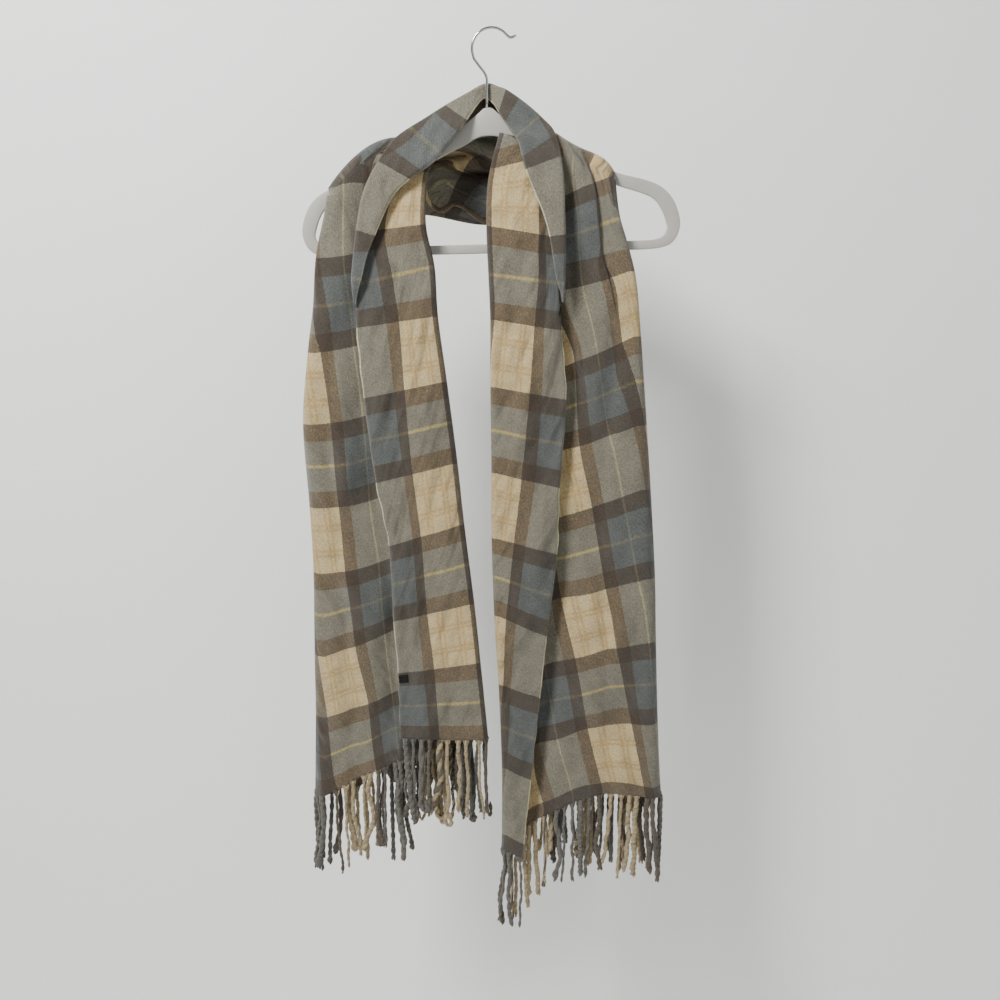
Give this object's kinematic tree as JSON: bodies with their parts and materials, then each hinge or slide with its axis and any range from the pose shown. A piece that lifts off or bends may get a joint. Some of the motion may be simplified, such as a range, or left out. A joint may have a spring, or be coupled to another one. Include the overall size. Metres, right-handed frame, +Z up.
{
  "type": "oblong scarf on a coat hanger",
  "caption": "Oblong woven scarf with twisted fringes, folded in three lengthwise and hung over the arms of a slim coat hanger with a wire hook.",
  "frame": {"origin": "top of the inside of the hanger's hook, where the hook is held", "axes": "+Z up along the hanging scarf, +X along the hanger's arms to the viewer's right, front faces -Y"},
  "size_m": [0.435, 0.085, 1.0785],
  "materials": {
    "cloth": "brushed wool in a brown, grey-blue and cream check",
    "fringe": "twisted wool strands",
    "label": "plain woven black",
    "hanger": "light warm grey with a soft coating",
    "hook": "bright plated wire"
  },
  "bodies": {
    "root": {"left_tail": "cloth", "right_tail": "cloth", "rolled_collar": "cloth", "neck_back": "cloth", "left_fringe": "fringe", "right_fringe": "fringe", "label": "label", "hanger_body": "hanger", "hanger_hook": "hook"}
  },
  "joints": []
}
